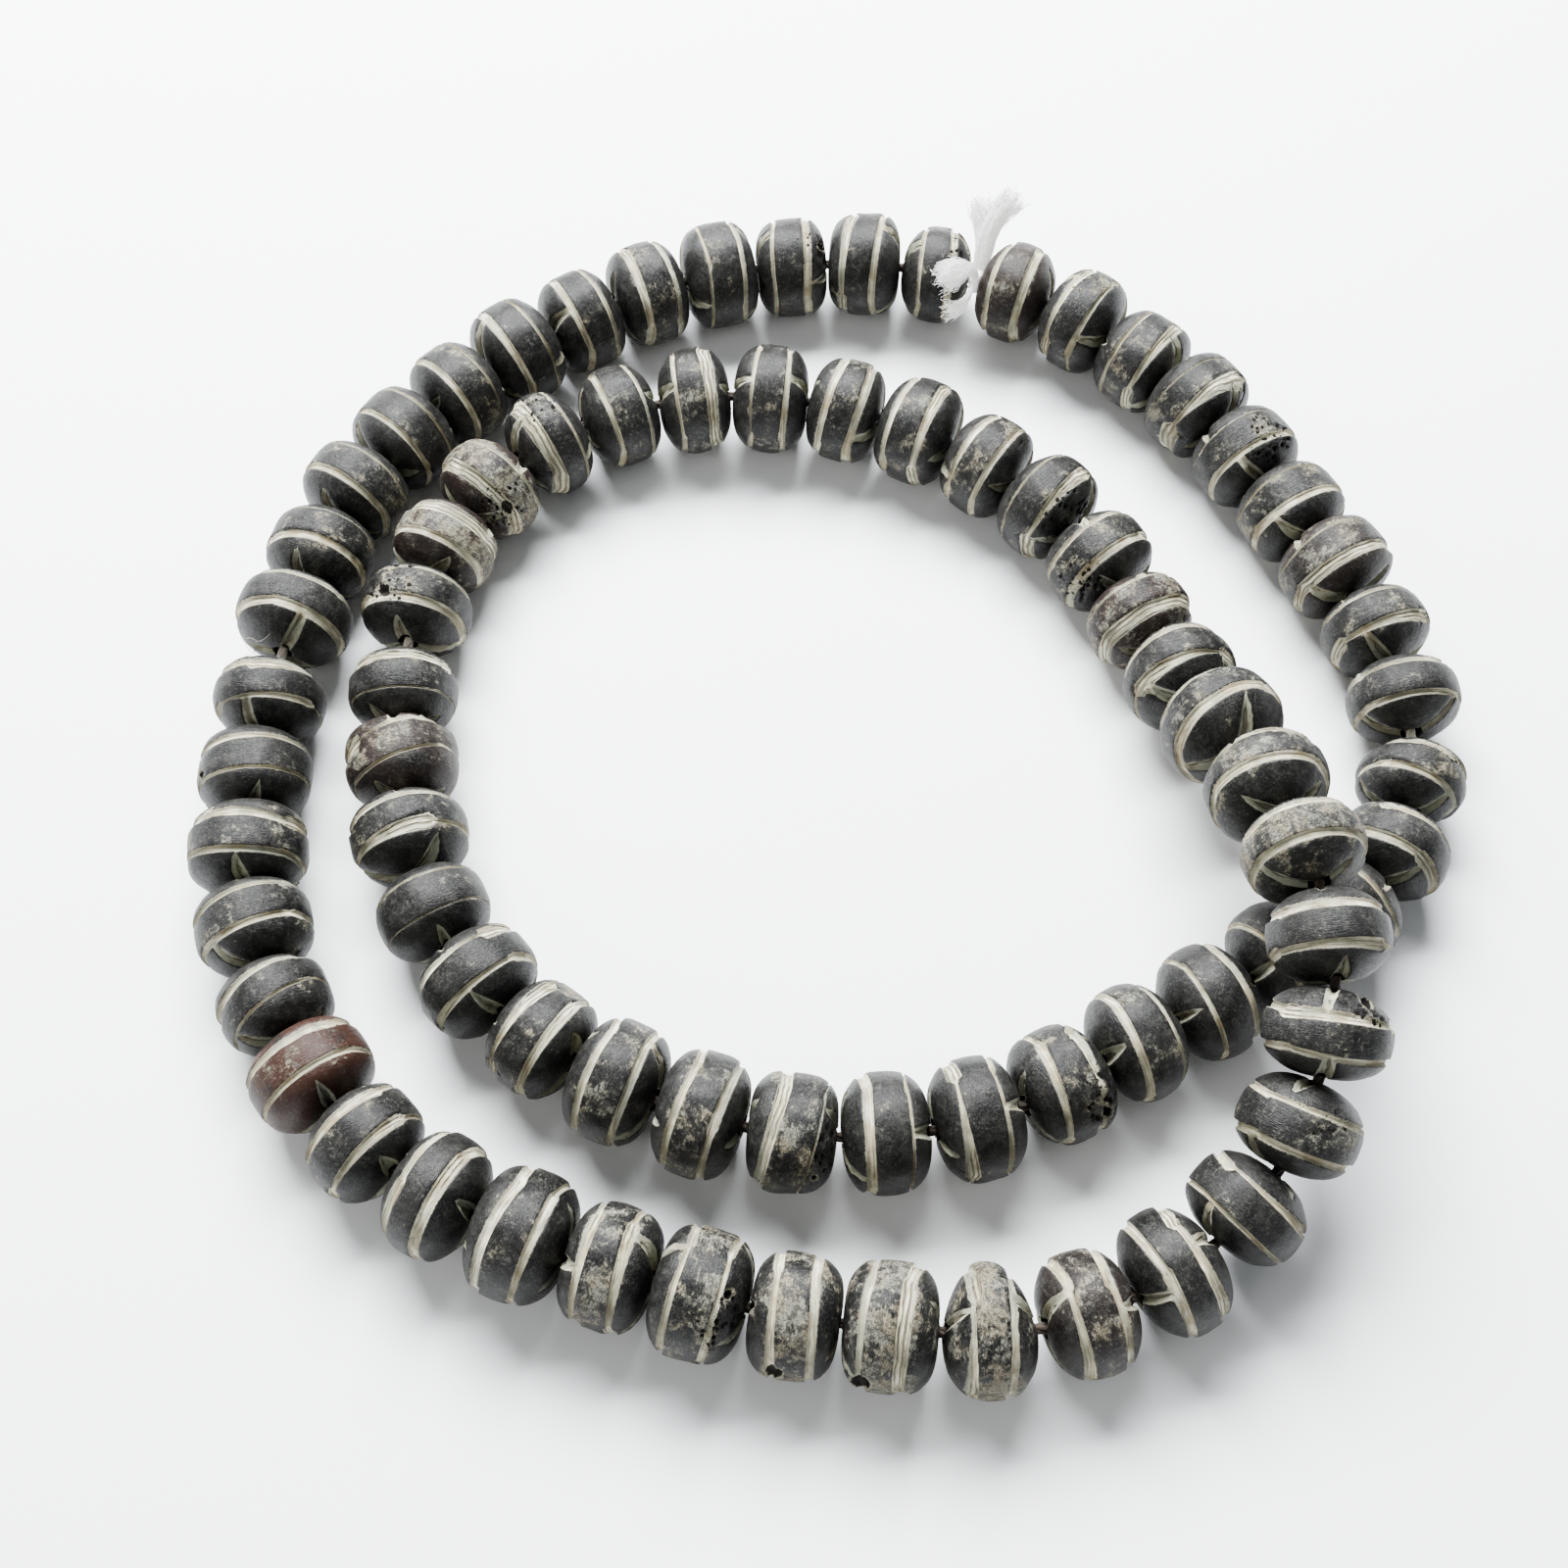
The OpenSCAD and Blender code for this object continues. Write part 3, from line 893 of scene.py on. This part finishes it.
    worn, brown, _ = three("shade")
    beads = keep_vector(beads, "own_place", own)
    beads = keep_vector(beads, "look", whole(worn, brown, share.fade(0.48, 0.70)))
    for name, value in (("cut", pick(in_bore, cut, -1.0)), ("cut_across", across),
                        ("hollow", pick(in_bore, hollow, 1.0)), ("open_bone", open_bone)):
        beads = keep(beads, name, value)
    beads = add(tree, "GeometryNodeSetPosition", beads, Position=world)
    fill(result, Geometry=finished(beads, material))
    return tree


TO_CAMERA = Vector((0, -math.cos(CAMERA_DOWN), math.sin(CAMERA_DOWN)))
PICTURE_UP = Vector((0, math.sin(CAMERA_DOWN), math.cos(CAMERA_DOWN)))


def seen_on(bead, right, up):
    """The place on a bead, in its own frame, that the camera sees so far right and up of its
    middle, in shares of its radius."""
    radius, half, power = bead["across"] / 2, bead["long_seen"] / 2, bead["power"]
    flat = np.array(Vector((right, 0, 0)) + PICTURE_UP * up) * radius
    best = None
    for near in np.linspace(1.2, -0.2, 141):
        place = flat + np.array(TO_CAMERA) * near * radius
        own = np.array([place @ bead["way"], place @ bead["side"], place @ bead["up"]])
        size = (abs(own[0]) / half) ** power + (math.hypot(own[1], own[2]) / radius) ** power
        if best is None or size < best[0]:
            best = (size, own)
        if size <= 1:
            break
    return best[1] / best[0] ** (1 / power)


def onwards(bead, turn):
    """How much further up the picture a bead's surface gets as the turn grows, where the string
    runs across the picture, and how much further left where it runs up."""
    step = Vector(bead["up"]) * math.cos(turn) - Vector(bead["side"]) * math.sin(turn)
    return step.dot(PICTURE_UP) if abs(bead["way"][0]) > 0.5 else -step.x


def ring_half_width(draw):
    """Half a ring's width for each draw from 0 to 1: about one ring in seven is a thin line."""
    return np.where(draw < 0.15, 0.14 + draw * 0.6, 0.34 + (draw - 0.15) * 0.33)


def bead_values(beads, first_number):
    """The columns of values that the carving tree reads, a row for each bead."""
    rng = np.random.default_rng(BEAD_SEED + first_number)
    count = len(beads)
    numbers = np.arange(first_number, first_number + count)
    nothing = np.zeros(count)

    def chance(low, high, *more):
        return rng.uniform(low, high, (count, *more))

    def rows_here(table):
        """The rows of a table on these beads, each after the bead's place among them."""
        return [(row[0] - first_number, *row) for row in table if row[0] in numbers]

    values = {name: [b[name] for b in beads] for name in ("way", "side", "up", "across", "power")}
    values.update(
        middle=[b["middle_seen"] for b in beads],
        long=[b["long_seen"] for b in beads],
        seed=numbers * 1.0,
        form=np.column_stack([
            np.clip(rng.normal(0, 0.09, count), -0.2, 0.2), chance(0, 6.28), chance(0, 0.04)]),
        wedge=np.column_stack([chance(0, 0.03), chance(0, 6.28), nothing]),
        flaw=np.column_stack([chance(0, 0.03), chance(0, 6.28), nothing]),
        shade=np.column_stack([
            [WORN[n - 1] / 100 for n in numbers], [BROWN.get(n, 0.0) for n in numbers], nothing]),
    )
    # The turn at which each bead faces the camera.
    facing = np.array([
        math.atan2(TO_CAMERA.dot(Vector(b["up"])), TO_CAMERA.dot(Vector(b["side"]))) for b in beads])
    # 1 where a bead's turns run up or to the left in the picture, and -1 where they run down.
    upward = np.array([1 if onwards(b, turn) > 0 else -1 for b, turn in zip(beads, facing)])
    for name in ("before", "after"):
        # Most rings have the middle of a stroke facing up, and a few have a corner there.
        start = facing + rng.normal(0, 0.45, count) + np.where(rng.random(count) < 0.14, 1.05, 0)
        values["ring_" + name] = np.column_stack([
            rng.normal(RING_PLACE, 0.012, count), ring_half_width(rng.random(count)), start])
        values["lean_" + name] = chance(0.02, 0.13, 3)
        tapers = np.where(rng.random((count, 1)) < 0.15, 0.85, chance(0.05, 0.45, 3))
        values["taper_" + name] = tapers * rng.choice((-1, 1), (count, 1))
        values["notch_" + name] = np.column_stack([chance(0, 6.28), chance(0.7, 1.1), chance(1.3, 2.6)])
        joined = rng.random((count, 3)) < 0.4
        values["reach_" + name] = np.where(joined, chance(72, 110, 3), chance(34, 60, 3))
    for k, number, *widths in rows_here(RINGS):
        widths = [width / 100 for width in widths]
        for name, half_width, growth in (("before", *widths[:2]), ("after", *widths[2:])):
            if half_width:
                middle = math.radians(STROKE_MIDDLES.get((number, name), 0))
                values["ring_" + name][k][1:] = half_width, facing[k] + upward[k] * middle
                values["taper_" + name][k][:] = growth * upward[k]
    for k, _, slant in rows_here(SLANTED.items()):
        values["form"][k][:2] = -math.tan(math.radians(slant)), facing[k] + math.pi / 2
    for k, _, amount in rows_here(WEDGED.items()):
        values["wedge"][k][:2] = amount, facing[k] + upward[k] * math.pi / 2
    open_at, hole_at = np.zeros((2, count, 3))
    # A bead with no hole has one of less than no width.
    hole_radius = np.full(count, -5.0)
    for k, _, amount, *seen in rows_here(OPEN_BONE):
        open_at[k] = seen_on(beads[k], *seen)
        values["flaw"][k][2] = amount
    for k, _, *seen, radius in rows_here(HOLES):
        hole_at[k] = seen_on(beads[k], *seen)
        hole_radius[k] = radius
    hole_way = [[np.array(TO_CAMERA) @ b[name] for name in ("way", "side", "up")] for b in beads]
    values.update(open_at=open_at, hole_at=hole_at, hole_way=hole_way, hole_radius=hole_radius)
    return values


def make_beads():
    tree = carving_tree(DYED_BONE)
    blank = bead_blank()
    for node, start, end in (("beads_first_turn", 1, 13), ("beads_first_turn", 14, 26),
                             ("beads_first_turn", 27, 38), ("beads_second_turn", 39, 51),
                             ("beads_second_turn", 52, 64), ("beads_second_turn", 65, 76)):
        beads = BEADS[start - 1:end]
        places = plain_mesh("bead_places", [b["middle"] * MM for b in beads], **bead_values(beads, start))
        name = f"carved_beads_{start:02d}_to_{end}"
        piece = node_made(name, places, tree, {"Bead blank": blank}, DYED_BONE)
        stands_for(piece, node, "bone", "own_place", "cut", "cut_across", "hollow", "open_bone", "look")
    bpy.data.objects.remove(blank)


make_beads()


# Thread and knot

# The knot's tails: distance from the string, shift along it, radius, and degrees up from the
# outside of the loop. The last row opens out where the fibres are loose.
TAILS = [
    [[1.2, 0, 0.6, 50], [4.2, 0, 1.1, 50], [7.4, 0.4, 1.25, 50], [10.3, 1.5, 1.25, 49],
     [12.7, 2.8, 2.0, 47]],
    [[1.2, 0, 0.7, 30], [4.6, 0, 1.25, 30], [7.4, -0.8, 1.5, 31], [9.5, -1.7, 1.75, 32],
     [11.2, -2.3, 1.9, 32]],
    [[1.2, 0, 0.4, 118], [4.4, 0, 0.45, 118], [7.6, -0.5, 0.85, 122], [8.9, -2.2, 1.9, 130],
     [8.8, -4.0, 1.9, 141]],
    [[1.2, 0, 0.3, 162], [5, 0, 0.3, 162], [7.8, -0.6, 0.55, 164], [8.8, -1.9, 1.1, 168]],
]

# The turns of thread that wind round the string at the knot: how many, how far out and how wide.
KNOT_TURNS = 2.3
KNOT_RADIUS = 1.25
KNOT_WIDTH = 0.9

# A stray hair on the first bead: places to the right of and above its middle, as it is seen, in
# shares of its radius. It lies just off the bead, as a share of the distance to the middle.
STRAY_HAIR = [
    [-0.80, -0.34], [-0.74, -0.36], [-0.77, -0.47], [-0.69, -0.57], [-0.62, -0.47], [-0.67, -0.36],
    [-0.56, -0.36], [-0.45, -0.41], [-0.29, -0.36], [-0.20, -0.30],
]
HAIR_CLEAR = 1.015

# Beads after which the thread lies bare in cream; between the others it is painted dark as shade.
BARE_AFTER = (21, 39, 54, 76)
# The thread runs straight through the gap between two beads, this far to each side.
STRAIGHT = 1.3


# The flat of a bead's end beside its hole, as a share of half its length from the middle.
END_FACE = 0.994


def end_of(bead, side=1):
    return bead["middle"] + bead["way"] * bead["long"] / 2 * side * END_FACE


def joint_after(number):
    """The middle of the gap after a bead, and the way of the string there."""
    bead, beside = BEADS[number - 1], BEADS[number % len(BEADS)]
    way = bead["way"] + beside["way"]
    return (end_of(bead) + end_of(beside, -1)) / 2, way / np.linalg.norm(way)


KNOT_AT, KNOT_WAY = joint_after(KNOT_AFTER)
KNOT_SIDE = np.cross((0, 0, 1), KNOT_WAY)


def path_object(name, paths, **values):
    """Open paths of points in millimetres as a mesh of edges, with one value for each point."""
    edges, first = [], 0
    for path in paths:
        edges += [(first + i, first + i + 1) for i in range(len(path) - 1)]
        first += len(path)
    return plain_mesh(name, np.vstack(paths) * MM, edges, **values)


def resampled(curve, mode, amount):
    """A curve with evenly spread points, by their Length apart or their Count, and level normals."""
    curve = add(curve.tree, "GeometryNodeResampleCurve", curve,
                settings={"mode": mode.upper()}, **{mode: amount})
    return add(curve.tree, "GeometryNodeSetCurveNormal", curve, settings={"mode": "Z_UP"})


def path_frame(curve):
    """Keeps the length along a curve in millimetres and the two directions across it."""
    tree = curve.tree
    level = add(tree, "GeometryNodeInputNormal")
    upright = vector_sum("CROSS_PRODUCT", add(tree, "GeometryNodeInputTangent"), level)
    length = add(tree, "GeometryNodeSplineParameter", output="Length")
    curve = keep(curve, "run", length * 1000)
    return keep_vector(keep_vector(curve, "level", level), "upright", upright)


def off_the_path(curve, turn, reach):
    """Moves the points of a framed curve out from it, at an angle round it."""
    level, upright = vector_field(curve.tree, "level"), vector_field(curve.tree, "upright")
    offset = moved(vector_sum("SCALE", level, turn.cos() * reach), (upright, turn.sin() * reach))
    return add(curve.tree, "GeometryNodeSetPosition", curve, Offset=offset)


def skinned(curve, sides, radius, material, taper=None):
    """A closed skin round each curve. own_place keeps length along it and the place around it."""
    tree = curve.tree
    circle = add(tree, "GeometryNodeCurvePrimitiveCircle", Resolution=sides, Radius=radius)
    ring = keep(circle, "around", add(tree, "GeometryNodeInputIndex") / sides * math.tau)
    skin = add(tree, "GeometryNodeCurveToMesh", curve, Profile_Curve=ring, Scale=taper, Fill_Caps=True)
    around, strand = field(tree, "around"), field(tree, "strand")
    place = whole(field(tree, "run"), around.cos() * 0.4, around.sin() * 0.4 + strand * 7.0)
    return finished(keep_vector(skin, "own_place", place), material)


def duplicated(curve, amount):
    copies = add(curve.tree, "GeometryNodeDuplicateElements", curve,
                 settings={"domain": "SPLINE"}, Amount=amount)
    return keep(copies, "strand", other_output(copies, "Duplicate Index"))


def twisted_thread_tree(material):
    """Plies wound round each other along a path."""
    tree, given, result = new_tree("Geometry", "twisted_thread", [
        ["Geometry", "Geometry"], ["Plies", "Int", 4], ["Ply radius", "Float", 0.00030],
        ["Twist radius", "Float", 0.00033], ["Turn length", "Float", 0.0075], ["Step", "Float", 0.0004],
        ["Sides", "Int", 6],
    ])
    curve = add(tree, "GeometryNodeMeshToCurve", given["Geometry"])
    curve = path_frame(resampled(curve, "Length", given["Step"]))
    curve = duplicated(curve, given["Plies"])
    turn = field(tree, "run") / (given["Turn length"] * 1000) * math.tau
    turn = turn + field(tree, "strand") / given["Plies"] * math.tau
    curve = off_the_path(curve, turn, given["Twist radius"])
    fill(result, Geometry=skinned(curve, given["Sides"], given["Ply radius"], material))
    return tree


def frayed_tuft_tree(material):
    """A soft core that follows each tail of the knot, and loose fibres round it that open out
    towards its end."""
    tree, given, result = new_tree("Geometry", "frayed_tuft", [
        ["Geometry", "Geometry"], ["Fibres", "Int", 300], ["Fibre radius", "Float", 0.000040],
        ["Points", "Int", 22], ["Wander", "Float", 0.0013], ["Frizz", "Float", 0.0019], ["Sides", "Int", 3],
        ["Shortest", "Float", 0.66], ["Core share", "Float", 0.72], ["Core furrows", "Float", 0.00060],
        ["Seed", "Int", 7],
    ])
    path = add(tree, "GeometryNodeMeshToCurve", given["Geometry"])
    path = path_frame(resampled(path, "Count", given["Points"]))
    path = keep(path, "share", add(tree, "GeometryNodeSplineParameter", output="Factor"))
    strand, share, run, around, radius, tail = [
        field(tree, name) for name in ("strand", "share", "run", "around", "tail_radius", "tail")]

    closing = (1.0 - share.fade(0.72, 1.0, soft=False) ** 2.0).at_least(0.03)
    core_size = radius * given["Core share"] * closing
    core = keep(resampled(path, "Count", 40), "strand", tail)
    core = skinned(core, 40, MM, material, core_size)
    streaks = noise(whole(run * 0.25, around.cos() * 3.0, around.sin() * 3.0 + strand * 7.0), 1.6, 3, 0.6)
    depth = (streaks - 0.55) * given["Core furrows"] * 2.0
    furrows = vector_sum("SCALE", add(tree, "GeometryNodeInputNormal"), depth)
    core = add(tree, "GeometryNodeSetPosition", core, Offset=furrows)

    curve = duplicated(path, given["Fibres"])
    name = strand + tail * 5000

    def chance(low, high, draw):
        seed = given["Seed"] + draw
        return in_order(tree, "FunctionNodeRandomValue", {"data_type": "FLOAT"}, (low, high, name, seed))

    turn = chance(0.0, math.tau, 0) + share * chance(-1.5, 1.5, 1)
    curve = off_the_path(curve, turn, chance(0.25, 1.0, 2) ** 0.5 * radius * MM)
    own = whole(name * 0.0131, name * 0.0071, 0.0)
    own = vector_sum("ADD", add(tree, "GeometryNodeInputPosition"), own)
    for scale, size in ((260.0, given["Wander"] * 2.0 * (0.15 + share * share)),
                        (620.0, given["Frizz"] * 2.0 * share ** 3.0)):
        sway = vector_sum("SUBTRACT", noise(own, scale, 1, output="Color"), (0.5, 0.5, 0.5))
        curve = add(tree, "GeometryNodeSetPosition", curve, Offset=vector_sum("SCALE", sway, size))
    curve = add(tree, "GeometryNodeTrimCurve", curve, End=chance(given["Shortest"], 1.0, 3))
    fibres = skinned(curve, given["Sides"], given["Fibre radius"], material)
    both = add(tree, "GeometryNodeJoinGeometry", core)
    plug(fibres, both.out.node.inputs[0])
    fill(result, Geometry=both)
    return tree


def rounded_path(rows, count=24):
    """A smooth curve through the rows of a short table."""
    rows = np.array(rows, float)
    padded = np.vstack([2 * rows[0] - rows[1], rows, 2 * rows[-1] - rows[-2]])
    made = []
    for t in np.linspace(0, len(rows) - 1, count):
        i = min(int(t), len(rows) - 2)
        f = t - i
        a, b, c, d = padded[i:i + 4]
        made.append(0.5 * (2 * b + (c - a) * f + (2 * a - 5 * b + 4 * c - d) * f * f
                           + (3 * b - a - 3 * c + d) * f ** 3))
    return np.array(made)


def make_thread():
    """The thread, from the knot through all the beads and back to it."""
    path, bare = [KNOT_AT + KNOT_WAY * 0.2], [1]
    for number in list(range(KNOT_AFTER + 1, len(BEADS) + 1)) + list(range(1, KNOT_AFTER)):
        joint, way = joint_after(number)
        path += [joint + way * shift for shift in (-STRAIGHT, 0, STRAIGHT)]
        bare += [number in BARE_AFTER] * 3
    path.append(KNOT_AT - KNOT_WAY * 0.2)
    bare.append(1)
    thread = node_made("twisted_thread", path_object("thread_path", [path], bare=bare),
                       twisted_thread_tree(SOILED_COTTON), {}, SOILED_COTTON)
    first = BEADS[0]
    hair = [seen_on(first, *place) * HAIR_CLEAR for place in STRAY_HAIR]
    hair = [first["middle_seen"] + p[0] * first["way"] + p[1] * first["side"] + p[2] * first["up"]
            for p in hair]
    hair = path_object("hair_path", [rounded_path(hair, 60)], bare=[1] * 60)
    values = {"Plies": 1, "Ply radius": 0.000032, "Twist radius": 0.0, "Step": 0.0002}
    stray = node_made("stray_fibre", hair, twisted_thread_tree(SOILED_COTTON), values, SOILED_COTTON)
    for piece in (thread, stray):
        stands_for(piece, "thread", "thread", "own_place", "bare")


def make_knot():
    """Two turns of thread round the string, and the tufts that fray out of them."""
    tables = [rounded_path(rows) for rows in TAILS]
    paths = []
    for table in tables:
        far, along, radius, angle = table.T
        path = KNOT_AT + np.outer(far * np.cos(np.radians(angle)), KNOT_SIDE) + np.outer(along, KNOT_WAY)
        path[:, 2] += far * np.sin(np.radians(angle))
        paths.append(path)
    start = path_object("tail_paths", paths, tail_radius=np.vstack(tables)[:, 2],
                        tail=np.repeat(range(len(tables)), [len(table) for table in tables]))
    tufts = node_made("frayed_knot", start, frayed_tuft_tree(WHITE_COTTON), {}, WHITE_COTTON)
    turn = np.linspace(0, KNOT_TURNS * math.tau, 70)
    wound = KNOT_AT + np.outer((turn / turn[-1] - 0.5) * KNOT_WIDTH, KNOT_WAY)
    wound += np.outer(np.cos(turn), KNOT_SIDE) * KNOT_RADIUS
    wound[:, 2] += np.sin(turn) * KNOT_RADIUS
    values = {"Ply radius": 0.00026, "Twist radius": 0.00026, "Turn length": 0.0022, "Step": 0.00025}
    start = path_object("knot_turns", [wound])
    coil = node_made("knot_turns", start, twisted_thread_tree(WHITE_COTTON), values, WHITE_COTTON)
    for piece in (tufts, coil):
        stands_for(piece, "knot", "knot_cotton", "own_place")


make_thread()
make_knot()
